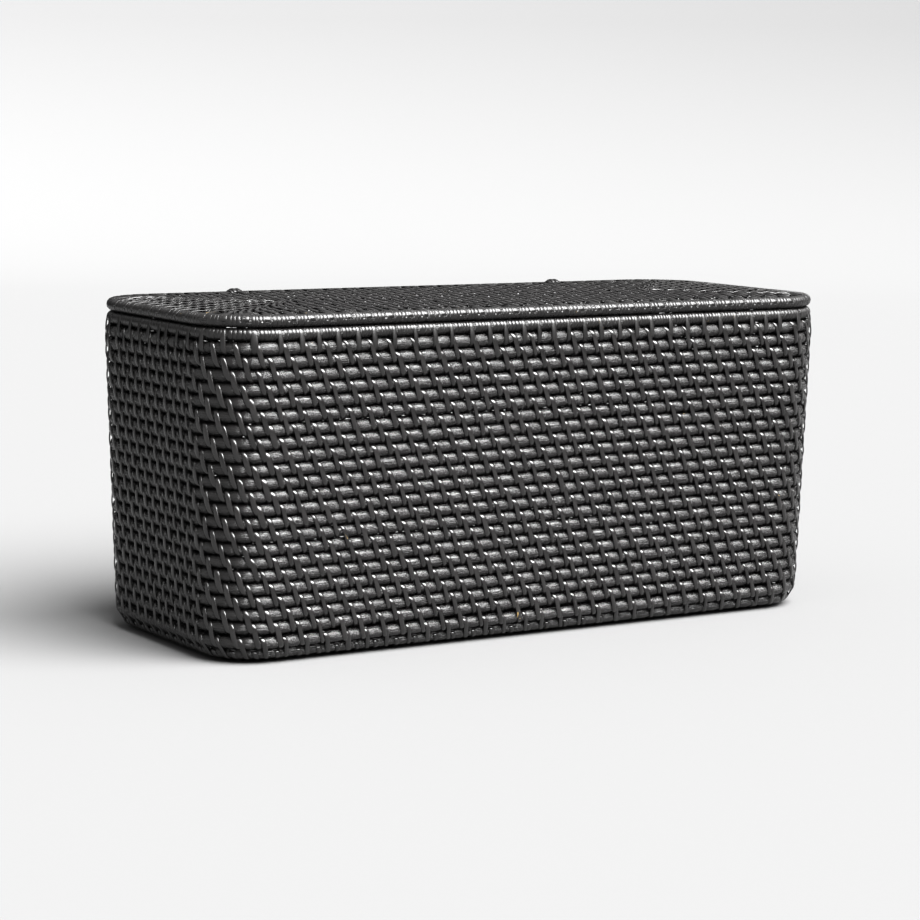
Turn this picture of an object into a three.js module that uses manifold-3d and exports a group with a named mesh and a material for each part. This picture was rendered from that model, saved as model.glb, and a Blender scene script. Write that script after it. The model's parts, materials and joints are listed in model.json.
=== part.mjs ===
// Rectangular coiled rattan basket with a wrapped rim and a lid that is lashed on along the back.
//
// Millimetres, +Z up. The origin is on the floor under the middle of the basket, +X runs along the
// length and +Y points to the back, where the lid is lashed on. The lid is shut.
//
// The basket is built from courses: each course is one turn of rod, bent to a rounded rectangle and
// bound to the turn beside it. Every section is an octagon that stands for the rod with its binding.

import * as THREE from 'three';
import { mergeVertices } from 'three/addons/utils/BufferGeometryUtils.js';
import Module from 'manifold-3d';

const wasm = await Module();
wasm.setup();

// Overall sizes, all outside.
const LENGTH = 450; // at the top course of the wall
const DEPTH = 186; // at the top course of the wall
const HEIGHT = 205.2; // floor to the top of the lid's rim
const CORNER_RADIUS = 42.5; // seen from above, at the top course of the wall
const WALL_LEAN = 6.4; // how far a side comes in from its top course to the floor
const FOOT_RADIUS = 15.6; // the round between wall and base

// Courses.
const COURSE = 7.4; // rod and binding together, across the corners of the section
const WALL_CLEARANCE = 0.38; // between one wall course and the next
const TIGHTEST_BEND = 6; // smallest corner radius of a course, at the middle of its rod

// Rims.
const RIM = 7.8; // rod and wrapping together, across the corners of the section
const RIM_INSET = 4.1; // middle of both rims, in from the outside of the wall
const CANE = 0.7; // thickness of the flat cane that wraps the rims and lashes the lid
const WRAP_JOINT_X = 88; // where one strip of wrapping ends and the next begins

// Hinge lashings.
const HINGE_X = 122.5; // middle of each lashing, left and right of the middle
const HINGE_TURNS = 3;
const HINGE_CANE_WIDTH = 2.7;
const HINGE_ARC_STEPS = 6; // flats on each half turn round a rim

const GAP = 0.3; // clearance between pieces that lie against each other

// From the middle of one wall course to the next.
const WALL_PITCH = COURSE + WALL_CLEARANCE;

// An octagon section: distances from its middle to a flat, and half the width of a flat.
const toFlat = (across) => (across / 2) * Math.cos(Math.PI / 8);
const halfFlat = (across) => (across / 2) * Math.sin(Math.PI / 8);

// Heights, worked out from the top of the lid downwards.
const flatRadius = (RIM / 2 + GAP) / Math.cos(Math.PI / (2 * HINGE_ARC_STEPS));
const lashingReach = flatRadius + CANE;
const lidRimZ = HEIGHT - toFlat(RIM);
const bodyRimZ = lidRimZ - RIM / 2 - GAP - toFlat(RIM);
const topCourseZ = bodyRimZ - lashingReach - GAP - toFlat(COURSE);

const rattan = (lightness) => new THREE.MeshStandardMaterial({
  color: new THREE.Color(lightness, lightness * 0.95, lightness * 0.93),
  roughness: 0.45,
  metalness: 0,
});
const rodBlack = rattan(0.018);
const wrapBlack = rattan(0.028);
const lashingBlack = rattan(0.035);

const basket = new THREE.Group();

function addPiece(name, geometry, material, z = 0) {
  const piece = new THREE.Mesh(geometry, material);
  piece.name = name;
  piece.position.z = z;
  basket.add(piece);
}

// Courses are counted from the floor up, or from the middle of a panel outwards.
const numbered = (name, count) => `${name}_${String(count).padStart(2, '0')}`;

// Steps in a corner: an arc is cut into twice its divisions.
const WIDE_BEND_DIVISIONS = 2;
const TIGHT_BEND_DIVISIONS = 1;
const WIDE_BEND = 2 * TIGHTEST_BEND; // a corner radius from which a corner needs the finer steps

// A rounded rectangle as a closed outline.
function roundedRectangle(outline, halfLength, halfDepth, radius) {
  const x = halfLength - radius;
  const y = halfDepth - radius;
  const corners = [[x, y], [-x, y], [-x, -y], [x, -y]];
  corners.forEach(([cornerX, cornerY], quarter) => {
    const start = quarter * Math.PI / 2;
    outline.absarc(cornerX, cornerY, radius, start, start + Math.PI / 2);
  });
  outline.closePath();
  return outline;
}

// An upright extrusion whose bevels make the four slanting flats of an octagon section.
function octagonExtrusion(shape, across, divisions) {
  const bevel = toFlat(across) - halfFlat(across);
  const height = 2 * halfFlat(across);
  const geometry = new THREE.ExtrudeGeometry(shape, {
    depth: height,
    bevelEnabled: true,
    bevelThickness: bevel,
    bevelSize: bevel,
    bevelSegments: 1,
    curveSegments: divisions,
  });
  return geometry.translate(0, 0, -height / 2);
}

// The turn of rod whose middle runs `inset` inside the outline of the wall's top course.
function turnGeometry(inset, across) {
  const halfLength = LENGTH / 2 - inset;
  const halfDepth = DEPTH / 2 - inset;
  const radius = Math.max(CORNER_RADIUS - inset, TIGHTEST_BEND);
  const reach = halfFlat(across);
  const shape = roundedRectangle(new THREE.Shape(), halfLength + reach, halfDepth + reach, radius + reach);
  shape.holes.push(roundedRectangle(new THREE.Path(), halfLength - reach, halfDepth - reach, radius - reach));
  return octagonExtrusion(shape, across, radius < WIDE_BEND ? TIGHT_BEND_DIVISIONS : WIDE_BEND_DIVISIONS);
}

// The straight rod that the coil starts from, with round ends.
function startRodGeometry(across) {
  const x = (LENGTH - DEPTH) / 2 + across / 2 - toFlat(across);
  const radius = halfFlat(across);
  const shape = new THREE.Shape();
  shape.absarc(x, 0, radius, -Math.PI / 2, Math.PI / 2);
  shape.absarc(-x, 0, radius, Math.PI / 2, 1.5 * Math.PI);
  shape.closePath();
  return octagonExtrusion(shape, across, WIDE_BEND_DIVISIONS);
}

// Courses of a flat panel, from `outerInset` to the start rod in the middle. The steps between them are
// evened out to end exactly on the start rod. Where another piece is at `outerInset`, the first course
// is one step inside it.
function addPanel(prefix, outerInset, z, includeOuter) {
  const width = DEPTH / 2 - outerInset;
  const steps = Math.floor(width / (COURSE + GAP));
  for (let step = includeOuter ? 0 : 1; step < steps; step += 1) {
    const inset = outerInset + step * width / steps;
    addPiece(numbered(`${prefix}_course`, steps - step), turnGeometry(inset, COURSE), rodBlack, z);
  }
  addPiece(`${prefix}_start_rod`, startRodGeometry(COURSE), rodBlack, z);
}

// The wall leans in on its way down and turns into the base on a round. Course 0 is the top one, and
// the middles of neighbouring courses are one pitch apart all the way.
const leanAngle = Math.atan(WALL_LEAN / topCourseZ);
const footRadius = FOOT_RADIUS - toFlat(COURSE);
const footTurn = Math.PI / 2 - leanAngle;
const footCentreZ = footRadius + toFlat(COURSE);
const footStartZ = footCentreZ + footRadius * Math.sin(leanAngle);
const wallCourses = (topCourseZ - footStartZ) / Math.cos(leanAngle) / WALL_PITCH;
const turnPerCourse = 2 * Math.asin(WALL_PITCH / (2 * footRadius));
const footCourses = footTurn / turnPerCourse;
const footStartInset = toFlat(COURSE) + (topCourseZ - footStartZ) * Math.tan(leanAngle);
const footCentreInset = footStartInset + footRadius * Math.cos(leanAngle);

function addWall() {
  const last = Math.floor(wallCourses + footCourses);
  const topOfFoot = Math.ceil(wallCourses);
  for (let course = 0; course <= last; course += 1) {
    let inset = toFlat(COURSE) + course * WALL_PITCH * Math.sin(leanAngle);
    let z = topCourseZ - course * WALL_PITCH * Math.cos(leanAngle);
    if (course > wallCourses) {
      const angle = leanAngle + (course - wallCourses) * turnPerCourse;
      inset = footCentreInset - footRadius * Math.cos(angle);
      z = footCentreZ - footRadius * Math.sin(angle);
    }
    const onWall = course < topOfFoot;
    const name = onWall ? numbered('wall_course', topOfFoot - course) : numbered('foot_course', last - course + 1);
    addPiece(name, turnGeometry(inset, COURSE), rodBlack, z);
  }
  // What is left of the round after the last course counts towards the base's first step.
  const leftOver = (wallCourses + footCourses - last) * WALL_PITCH;
  return footCentreInset - leftOver;
}

// Joining and cutting.
function toSolid(geometry) {
  const bare = geometry.clone();
  bare.deleteAttribute('normal');
  bare.deleteAttribute('uv');
  const merged = mergeVertices(bare);
  return new wasm.Manifold(new wasm.Mesh({
    numProp: 3,
    vertProperties: merged.attributes.position.array,
    triVerts: new Uint32Array(merged.index.array),
  }));
}

function toGeometry(solid) {
  const mesh = solid.getMesh();
  const geometry = new THREE.BufferGeometry();
  geometry.setAttribute('position', new THREE.BufferAttribute(mesh.vertProperties, 3));
  geometry.setIndex(new THREE.BufferAttribute(mesh.triVerts, 1));
  return geometry;
}

// A rim is a rod inside a sleeve of wrapping cane, made of a left and a right strip.
function addRim(prefix, z) {
  const rod = RIM - 2 * (CANE + GAP);
  addPiece(`${prefix}_rod`, turnGeometry(RIM_INSET, rod), rodBlack, z);
  const sleeve = toSolid(turnGeometry(RIM_INSET, RIM)).subtract(toSolid(turnGeometry(RIM_INSET, rod + 2 * GAP)));
  for (const [side, direction] of [['left', -1], ['right', 1]]) {
    const half = new THREE.BoxGeometry(2 * LENGTH, 2 * DEPTH, 2 * RIM);
    half.translate(WRAP_JOINT_X + direction * (LENGTH + GAP / 2), 0, 0);
    addPiece(`${prefix}_wrap_${side}`, toGeometry(sleeve.intersect(toSolid(half))), wrapBlack, z);
  }
}

// The middle of a flat strip of cane that winds round both rims, one above the other, and moves
// sideways by its own width and a gap on each turn.
class LashingPath extends THREE.Curve {
  constructor(middleX) {
    super();
    this.middleX = middleX;
    this.stepsPerTurn = 2 * (HINGE_ARC_STEPS + 1);
  }

  // Angle round the rim, seen along X, and the height of the rim, at a corner of the winding.
  corner(step) {
    const place = step % this.stepsPerTurn;
    const onLidRim = place <= HINGE_ARC_STEPS;
    const arcStep = onLidRim ? place : place - HINGE_ARC_STEPS - 1;
    const angle = (onLidRim ? 0 : Math.PI) + arcStep * Math.PI / HINGE_ARC_STEPS;
    return { angle, z: onLidRim ? lidRimZ : bodyRimZ };
  }

  getPoint(t, target = new THREE.Vector3()) {
    const turns = t * HINGE_TURNS;
    const { angle, z } = this.corner(Math.round(turns * this.stepsPerTurn));
    const radius = flatRadius + CANE / 2;
    const sideways = (turns - HINGE_TURNS / 2) * (HINGE_CANE_WIDTH + GAP);
    return target.set(
      this.middleX + sideways,
      DEPTH / 2 - RIM_INSET + radius * Math.cos(angle),
      z + radius * Math.sin(angle),
    );
  }

  getSpacedPoints(divisions) {
    return this.getPoints(divisions);
  }

  // The strip always lies flat: its width stays along X and its thickness points away from the rim.
  computeFrenetFrames(segments) {
    const frames = { tangents: [], normals: [], binormals: [] };
    for (let step = 0; step <= segments; step += 1) {
      const { angle } = this.corner(step);
      frames.tangents.push(new THREE.Vector3(0, -Math.sin(angle), Math.cos(angle)));
      frames.normals.push(new THREE.Vector3(0, Math.cos(angle), Math.sin(angle)));
      frames.binormals.push(new THREE.Vector3(-1, 0, 0));
    }
    return frames;
  }
}

function addHinge(side, middleX) {
  const strip = new THREE.Shape();
  const halfThickness = CANE / 2;
  const halfWidth = HINGE_CANE_WIDTH / 2;
  strip.moveTo(-halfThickness, -halfWidth);
  strip.lineTo(halfThickness, -halfWidth);
  strip.lineTo(halfThickness, halfWidth);
  strip.lineTo(-halfThickness, halfWidth);
  strip.closePath();
  const path = new LashingPath(middleX);
  const steps = path.stepsPerTurn * HINGE_TURNS;
  addPiece(`hinge_lashing_${side}`, new THREE.ExtrudeGeometry(strip, { steps, extrudePath: path }), lashingBlack);
}

const lastFootInset = addWall();
addPanel('base', lastFootInset, toFlat(COURSE), false);
addRim('body_rim', bodyRimZ);
addRim('lid_rim', lidRimZ);
addPanel('lid', RIM_INSET + lashingReach + GAP + COURSE / 2, lidRimZ, true);
addHinge('left', -HINGE_X);
addHinge('right', HINGE_X);

export default basket;
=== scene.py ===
"""Looks of a lidded basket of coiled rattan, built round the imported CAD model.

The basket is a coil: rods of rattan core laid in rounded rectangles one beside the other, and flat cane
that lashes every rod to the next with slanting stitches. The two rims are wrapped in the same cane, and
two lashings at the back hold the lid. Everything is in metres, in the frame of the CAD model.
"""

from __future__ import annotations

import json
import logging
import math
import random
from dataclasses import dataclass, field, replace
from enum import Enum
from typing import Any, Iterable, Sequence

import bpy
from mathutils import Matrix, Vector


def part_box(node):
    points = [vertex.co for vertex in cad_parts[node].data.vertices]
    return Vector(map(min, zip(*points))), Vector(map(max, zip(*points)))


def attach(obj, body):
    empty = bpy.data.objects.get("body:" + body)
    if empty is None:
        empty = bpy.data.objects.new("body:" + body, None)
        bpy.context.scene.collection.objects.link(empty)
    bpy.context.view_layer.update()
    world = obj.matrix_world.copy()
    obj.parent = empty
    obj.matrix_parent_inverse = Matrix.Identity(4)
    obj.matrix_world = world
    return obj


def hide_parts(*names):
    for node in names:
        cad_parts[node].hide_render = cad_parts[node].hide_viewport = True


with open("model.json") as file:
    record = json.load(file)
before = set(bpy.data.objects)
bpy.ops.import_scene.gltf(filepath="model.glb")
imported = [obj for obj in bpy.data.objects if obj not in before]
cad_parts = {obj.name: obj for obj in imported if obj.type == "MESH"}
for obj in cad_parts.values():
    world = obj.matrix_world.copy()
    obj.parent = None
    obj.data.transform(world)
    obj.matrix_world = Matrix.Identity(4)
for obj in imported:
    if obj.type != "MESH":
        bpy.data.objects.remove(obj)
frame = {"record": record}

LOG = logging.getLogger("basket")

MM = 0.001

# Sizes of the coil that the CAD model's boxes don't give.
CORNER_RADIUS = 42.5 * MM  # outside corner of the top course, seen from above
TIGHTEST_BEND = 6.0 * MM  # smallest corner radius of a course, at the middle of its rod
CORNER_STEPS = 16  # straight steps in a corner of a course's outline

ALMOST_NOTHING = 0.01 * MM  # half the depth of the outline that a straight rod has
TOP_RISES = (0.75, 0.6, 0.46, 0.34, 0.24, 0.16, 0.09, 0.04)  # of the top courses over the CAD, in mm

# How a rod narrows where cane crosses it: up to the first distance fully, from the second not at all.
PINCHED_TO = 1.3 * MM
FREE_FROM = 3.9 * MM

# How lumpy and how bent a rod is, and how its tone changes: noise scales, and a share of its radius.
LUMP_SCALE = 70.0
SWAY_SCALE = 30.0
TONE_SCALE = 35.0
THINNEST = 0.97
THICKEST = 1.03

# The patches and chips of the dye: noise scales.
PATCH_SCALE = 110.0
CHIP_SCALE = 95.0
FLECK_SCALE = 900.0

QUARTER = math.pi / 2
WRAP_STEPS = 14  # sections in a turn round a rim
HINGE_STEPS = 8  # sections in each half of a hinge lashing's turn
ROD_SIDES = 12
BARE_CANE = (0.30, 0.22, 0.10)  # colour of rattan without its dye
CLEAR_COAT_ROUGHNESS = 0.2
SHINE = 0.95  # specular level of the dyed cane and rods


class Body(Enum):
    """The rigid bodies of the CAD model."""

    BASKET = "basket"
    LID = "lid"


class Slot(Enum):
    """The record's material slots."""

    ROD = "rattan_rod"
    CANE = "flat_cane"


# Node trees


@dataclass
class Graph:
    """A node tree with short calls to add nodes and join them.

    A value given to an input is either another node's output, which is linked, or a plain value.
    """

    tree: bpy.types.NodeTree

    def add(self, kind: str, inputs: dict[Any, Any] | None = None, **settings: Any) -> bpy.types.Node:
        """Adds a node.

        Args:
            kind: the node's type name.
            inputs: values by input name or number.
            settings: the node's own settings.

        Returns:
            The new node.
        """
        node = self.tree.nodes.new(kind)
        for name, value in settings.items():
            setattr(node, name, value)
        for key, value in (inputs or {}).items():
            self.feed(node.inputs[key], value)
        return node

    def feed(self, socket: bpy.types.NodeSocket, value: Any) -> None:
        """Links an output to the socket, or sets the socket's own value."""
        if isinstance(value, bpy.types.NodeSocket):
            self.tree.links.new(value, socket)
        else:
            socket.default_value = value

    def math(self, operation: str, *values: Any) -> bpy.types.NodeSocket:
        """A Math node's output."""
        return self.add("ShaderNodeMath", dict(enumerate(values)), operation=operation).outputs[0]

    def vector(self, operation: str, *values: Any) -> bpy.types.NodeSocket:
        """A Vector Math node's vector output."""
        return self.add("ShaderNodeVectorMath", dict(enumerate(values)), operation=operation).outputs[0]

    def scale(self, vector: Any, factor: Any) -> bpy.types.NodeSocket:
        """A vector times a number."""
        return self.add("ShaderNodeVectorMath", {0: vector, "Scale": factor}, operation="SCALE").outputs[0]

    def combine(self, x: Any, y: Any, z: Any) -> bpy.types.NodeSocket:
        """A vector from three numbers."""
        return self.add("ShaderNodeCombineXYZ", {0: x, 1: y, 2: z}).outputs[0]

    def split(self, vector: Any) -> list[bpy.types.NodeSocket]:
        """The three numbers of a vector."""
        return list(self.add("ShaderNodeSeparateXYZ", {0: vector}).outputs)

    def mix(self, factor: Any, low: Any, high: Any, kind: str = "FLOAT") -> bpy.types.NodeSocket:
        """A number, vector or colour between two others."""
        first = {"FLOAT": 2, "VECTOR": 4, "RGBA": 6}[kind]
        node = self.add("ShaderNodeMix", {0: factor, first: low, first + 1: high}, data_type=kind)
        return node.outputs[first // 2 - 1]

    def spread(
        self, value: Any, low: float, high: float, to_low: float, to_high: float
    ) -> bpy.types.NodeSocket:
        """A number moved from one range to another, with its ends held."""
        inputs = {0: value, 1: low, 2: high, 3: to_low, 4: to_high}
        return self.add("ShaderNodeMapRange", inputs).outputs[0]

    def noise(
        self, vector: Any, scale: float, detail: float = 2.0, roughness: float = 0.5
    ) -> bpy.types.NodeSocket:
        """A noise texture's value."""
        inputs = {"Vector": vector, "Scale": scale, "Detail": detail, "Roughness": roughness}
        return self.add("ShaderNodeTexNoise", inputs).outputs[0]

    def group(self, group: bpy.types.NodeTree, inputs: dict[str, Any]) -> bpy.types.Node:
        """Adds a node group."""
        kind = "GeometryNodeGroup" if group.bl_idname == "GeometryNodeTree" else "ShaderNodeGroup"
        node = self.tree.nodes.new(kind)
        node.node_tree = group
        for name, value in inputs.items():
            self.feed(node.inputs[name], value)
        return node


SOCKETS = {
    float: "NodeSocketFloat",
    int: "NodeSocketInt",
    "geometry": "NodeSocketGeometry",
    "object": "NodeSocketObject",
    "material": "NodeSocketMaterial",
    "vector": "NodeSocketVector",
    "float": "NodeSocketFloat",
}


def new_tree(name: str, kind: str, inputs: dict[str, Any], outputs: dict[str, str]) -> tuple[Graph, Any, Any]:
    """Starts a node group with named inputs and outputs.

    Args:
        name: the group's name.
        kind: its tree type.
        inputs: each input's name and either its kind or, for a number, its default value.
        outputs: each output's name and kind.

    Returns:
        The graph, its input node's outputs and its output node's inputs.
    """
    tree = bpy.data.node_groups.new(name, kind)
    for label, value in inputs.items():
        socket_type = SOCKETS[value] if isinstance(value, str) else SOCKETS[type(value)]
        socket = tree.interface.new_socket(label, in_out="INPUT", socket_type=socket_type)
        if not isinstance(value, str):
            socket.default_value = value
    for label, value in outputs.items():
        tree.interface.new_socket(label, in_out="OUTPUT", socket_type=SOCKETS[value])
    graph = Graph(tree)
    return graph, graph.add("NodeGroupInput").outputs, graph.add("NodeGroupOutput").inputs


def run_tree(
    host: bpy.types.Object, tree: bpy.types.NodeTree, values: dict[str, Any], name: str
) -> bpy.types.Object:
    """Runs a geometry tree on an object and keeps the result as a plain mesh.

    Args:
        host: the object whose mesh is the tree's geometry; it is removed.
        tree: the geometry tree.
        values: the tree's inputs by name.
        name: the name of the finished piece.

    Returns:
        The finished piece, with no modifier.
    """
    modifier = host.modifiers.new("build", "NODES")
    modifier.node_group = tree
    for item in tree.interface.items_tree:
        if item.in_out == "INPUT" and item.name in values:
            modifier[item.identifier] = values[item.name]
    graph = bpy.context.evaluated_depsgraph_get()
    graph.update()
    mesh = bpy.data.meshes.new_from_object(
        host.evaluated_get(graph), preserve_all_data_layers=True, depsgraph=graph
    )
    old = host.data
    bpy.data.objects.remove(host)
    bpy.data.meshes.remove(old)
    mesh.name = name
    return add_object(name, mesh)


def add_object(name: str, mesh: bpy.types.Mesh) -> bpy.types.Object:
    """Puts a mesh into the scene."""
    piece = bpy.data.objects.new(name, mesh)
    bpy.context.scene.collection.objects.link(piece)
    return piece


def ring_faces(rings: int, around: int, first: int = 0, inward: bool = False) -> list[tuple[int, ...]]:
    """Four-sided faces between rings of points that follow one another.

    Args:
        rings: how many rings there are.
        around: points in each ring.
        first: the number of the first ring's first point.
        inward: whether the rings run the other way round, so that the faces turn over.

    Returns:
        The faces.
    """
    faces = []
    for row in range(rings - 1):
        for side in range(around):
            here, there = (first + row * around + index for index in (side, (side + 1) % around))
            middle = [here + around, there + around, there]
            faces.append((here, *(middle[::-1] if inward else middle)))
    return faces


def point_cloud(name: str, attributes: dict[str, Sequence[float]]) -> bpy.types.Object:
    """An object with one loose vertex for each value, and the values as attributes."""
    mesh = bpy.data.meshes.new(name)
    count = len(next(iter(attributes.values())))
    mesh.from_pydata([(0.0, 0.0, 0.0)] * count, [], [])
    for label, values in attributes.items():
        mesh.attributes.new(label, "FLOAT", "POINT").data.foreach_set("value", list(values))
    return add_object(name, mesh)


# Materials


def grain_group() -> bpy.types.NodeTree:
    """A shader group for the long fibres of rattan.

    Its Fibre input is a place on the strand: along it, then across it, in metres.

    Returns:
        The group, with the outputs Streak, Patch and Relief.
    """
    graph, given, out = new_tree(
        "rattan_grain",
        "ShaderNodeTree",
        {"Fibre": "vector", "Fibre width": 0.35 * MM, "Fibre length": 12 * MM},
        {"Streak": "float", "Patch": "float", "Relief": "float"},
    )
    along, across, depth = graph.split(given["Fibre"])
    place = graph.combine(
        graph.math("DIVIDE", along, given["Fibre length"]),
        graph.math("DIVIDE", across, given["Fibre width"]),
        graph.math("DIVIDE", depth, given["Fibre width"]),
    )
    streak = graph.noise(place, 1.0, detail=3.0, roughness=0.65)
    patch = graph.noise(given["Fibre"], PATCH_SCALE, detail=2.0)
    graph.feed(out["Streak"], graph.spread(streak, 0.3, 0.7, 0.0, 1.0))
    graph.feed(out["Patch"], graph.spread(patch, 0.3, 0.7, 0.0, 1.0))
    graph.feed(out["Relief"], graph.math("POWER", graph.spread(streak, 0.32, 0.62, 0.0, 1.0), 0.7))
    return graph.tree


def wear_group() -> bpy.types.NodeTree:
    """A shader group that says where the dye has chipped off: small flecks on the raised fibres.

    Returns:
        The group, with the output Bare.
    """
    graph, given, out = new_tree(
        "worn_dye", "ShaderNodeTree", {"Fibre": "vector", "Amount": 0.5}, {"Bare": "float"}
    )
    place = graph.add("ShaderNodeTexCoord").outputs["Object"]
    chance = graph.noise(place, CHIP_SCALE, detail=1.0)
    stretched = graph.vector("MULTIPLY", given["Fibre"], (0.3, 1.0, 1.0))
    fleck = graph.noise(stretched, FLECK_SCALE, detail=2.0)
    threshold = graph.math("SUBTRACT", 0.83, graph.math("MULTIPLY", given["Amount"], 0.1))
    total = graph.math("MULTIPLY_ADD", chance, 0.55, graph.math("MULTIPLY", fleck, 0.5))
    graph.feed(out["Bare"], graph.math("GREATER_THAN", total, threshold))
    return graph.tree


@dataclass(frozen=True)
class RattanFinish:
    """A dyed rattan finish: near-black, satin, with fibres, patches and a little chipped dye."""

    name: str
    dark: tuple[float, float, float]
    light: tuple[float, float, float]
    gloss: float  # roughness where the surface is smoothest
    dull: float  # roughness where the fibres stand up
    relief: float  # height of the fibres
    wear: float
    coat: float
    fibre_width: float = 0.50 * MM
    fibre_length: float = 16 * MM

    def build(self, grain: bpy.types.NodeTree, worn: bpy.types.NodeTree) -> bpy.types.Material:
        """Makes the material.

        Args:
            grain: the shader group of the fibres.
            worn: the shader group of the chipped dye.

        Returns:
            The material.
        """
        material = bpy.data.materials.new(self.name)
        material.use_nodes = True
        graph = Graph(material.node_tree)
        graph.tree.nodes.clear()
        shader = graph.add("ShaderNodeBsdfPrincipled")
        shader.inputs["Coat Weight"].default_value = self.coat
        shader.inputs["Coat Roughness"].default_value = CLEAR_COAT_ROUGHNESS
        shader.inputs["Specular IOR Level"].default_value = SHINE
        fibre = graph.add("ShaderNodeAttribute", attribute_name="fibre").outputs["Vector"]
        tone = graph.add("ShaderNodeAttribute", attribute_name="tone").outputs["Fac"]
        lines = graph.group(
            grain, {"Fibre": fibre, "Fibre width": self.fibre_width, "Fibre length": self.fibre_length}
        ).outputs
        bare = graph.group(worn, {"Fibre": fibre, "Amount": self.wear}).outputs["Bare"]
        shade = graph.math("MULTIPLY_ADD", lines["Streak"], 0.5, graph.math("MULTIPLY", tone, 0.5))
        dyed = graph.mix(shade, (*self.dark, 1.0), (*self.light, 1.0), "RGBA")
        graph.feed(shader.inputs["Base Color"], graph.mix(bare, dyed, (*BARE_CANE, 1.0), "RGBA"))
        rough = graph.math("MULTIPLY_ADD", lines["Streak"], 0.5, graph.math("MULTIPLY", lines["Patch"], 0.5))
        graph.feed(shader.inputs["Roughness"], graph.spread(rough, 0.0, 1.0, self.gloss, self.dull))
        relief = {"Strength": 0.8, "Distance": self.relief, "Height": lines["Relief"]}
        bump = graph.add("ShaderNodeBump", relief)
        graph.feed(shader.inputs["Normal"], bump.outputs[0])
        output = graph.add("ShaderNodeOutputMaterial")
        graph.feed(output.inputs[0], shader.outputs[0])
        return material


@dataclass
class Finishes:
    """The basket's materials."""

    rod: bpy.types.Material
    cane: bpy.types.Material
    wrap: bpy.types.Material

    @classmethod
    def build(cls) -> "Finishes":
        """Makes all the finishes."""
        grain, worn = grain_group(), wear_group()
        rod = RattanFinish(
            "dyed_rattan_core",
            dark=(0.005, 0.0045, 0.0045),
            light=(0.027, 0.0255, 0.025),
            gloss=0.14,
            dull=0.32,
            fibre_width=0.42 * MM,
            fibre_length=9 * MM,
            relief=0.30 * MM,
            wear=0.35,
            coat=0.3,
        )
        cane = RattanFinish(
            "dyed_binding_cane",
            dark=(0.007, 0.0065, 0.0065),
            light=(0.030, 0.0285, 0.028),
            gloss=0.14,
            dull=0.28,
            relief=0.06 * MM,
            wear=0.45,
            coat=0.4,
        )
        wrap = RattanFinish(
            "dyed_rim_cane",
            dark=(0.006, 0.0055, 0.0055),
            light=(0.026, 0.0245, 0.024),
            gloss=0.27,
            dull=0.42,
            relief=0.05 * MM,
            wear=0.75,
            coat=0.15,
        )
        return cls(*(finish.build(grain, worn) for finish in (rod, cane, wrap)))


# Geometry trees


def outline_group() -> bpy.types.NodeTree:
    """A geometry group: the middle line of one course, a rounded rectangle that runs anticlockwise."""
    graph, given, out = new_tree(
        "course_outline",
        "GeometryNodeTree",
        {"Half length": 0.2, "Half depth": 0.1, "Corner radius": 0.04, "Height": 0.0},
        {"Curve": "geometry"},
    )
    rectangle = graph.add(
        "GeometryNodeCurvePrimitiveQuadrilateral",
        {
            "Width": graph.math("MULTIPLY", given["Half length"], 2.0),
            "Height": graph.math("MULTIPLY", given["Half depth"], 2.0),
        },
    )
    fillet = graph.add(
        "GeometryNodeFilletCurve",
        {"Curve": rectangle.outputs[0], "Count": CORNER_STEPS, "Radius": given["Corner radius"]},
        mode="POLY",
    )
    moved = graph.add(
        "GeometryNodeSetPosition",
        {"Geometry": fillet.outputs[0], "Offset": graph.combine(0.0, 0.0, given["Height"])},
    )
    graph.feed(out["Curve"], moved.outputs[0])
    return graph.tree


OUTLINE_INPUTS = ("Half length", "Half depth", "Corner radius", "Height")


def two_outlines(other: str) -> dict[str, float]:
    """The tree inputs of two courses' outlines, the second one's under a prefix."""
    names = [*OUTLINE_INPUTS, *(f"{other} {name.lower()}" for name in OUTLINE_INPUTS)]
    return dict.fromkeys(names, 0.0)


def store(graph: Graph, geometry: Any, name: str, value: Any, data_type: str) -> bpy.types.NodeSocket:
    """Keeps a value on the points of a geometry under a name."""
    node = graph.add(
        "GeometryNodeStoreNamedAttribute",
        {"Geometry": geometry, "Name": name},
        data_type=data_type,
        domain="POINT",
    )
    graph.feed(node.inputs["Value"], value)
    return node.outputs[0]


def named(graph: Graph, name: str, data_type: str = "FLOAT") -> bpy.types.NodeSocket:
    """Reads a value kept under a name."""
    return graph.add("GeometryNodeInputNamedAttribute", {"Name": name}, data_type=data_type).outputs[0]


def finish_mesh(graph: Graph, geometry: Any, material: Any) -> bpy.types.NodeSocket:
    """Smooth shading and the material, for the end of a tree."""
    smooth = graph.add("GeometryNodeSetShadeSmooth", {"Geometry": geometry})
    inputs = {"Geometry": smooth.outputs[0], "Material": material}
    return graph.add("GeometryNodeSetMaterial", inputs).outputs[0]


def sample(graph: Graph, curve: Any, place: Any) -> bpy.types.bpy_prop_collection:
    """What a curve is like at a distance along it."""
    return graph.add("GeometryNodeSampleCurve", {"Curves": curve, "Length": place}, mode="LENGTH").outputs


def nearest_on(graph: Graph, edges: Any, place: Any) -> bpy.types.NodeSocket:
    """The point of some edges that is nearest to a place."""
    inputs = {"Geometry": edges, "Sample Position": place}
    return graph.add("GeometryNodeProximity", inputs, target_element="EDGES").outputs["Position"]


def both_outlines(graph: Graph, outline: bpy.types.NodeTree, given: Any, other: str) -> list[Any]:
    """The curves of two courses' outlines, from the inputs that two_outlines names."""
    own = {name: given[name] for name in OUTLINE_INPUTS}
    others = {name: given[f"{other} {name.lower()}"] for name in OUTLINE_INPUTS}
    return [graph.group(outline, inputs).outputs[0] for inputs in (own, others)]


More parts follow.
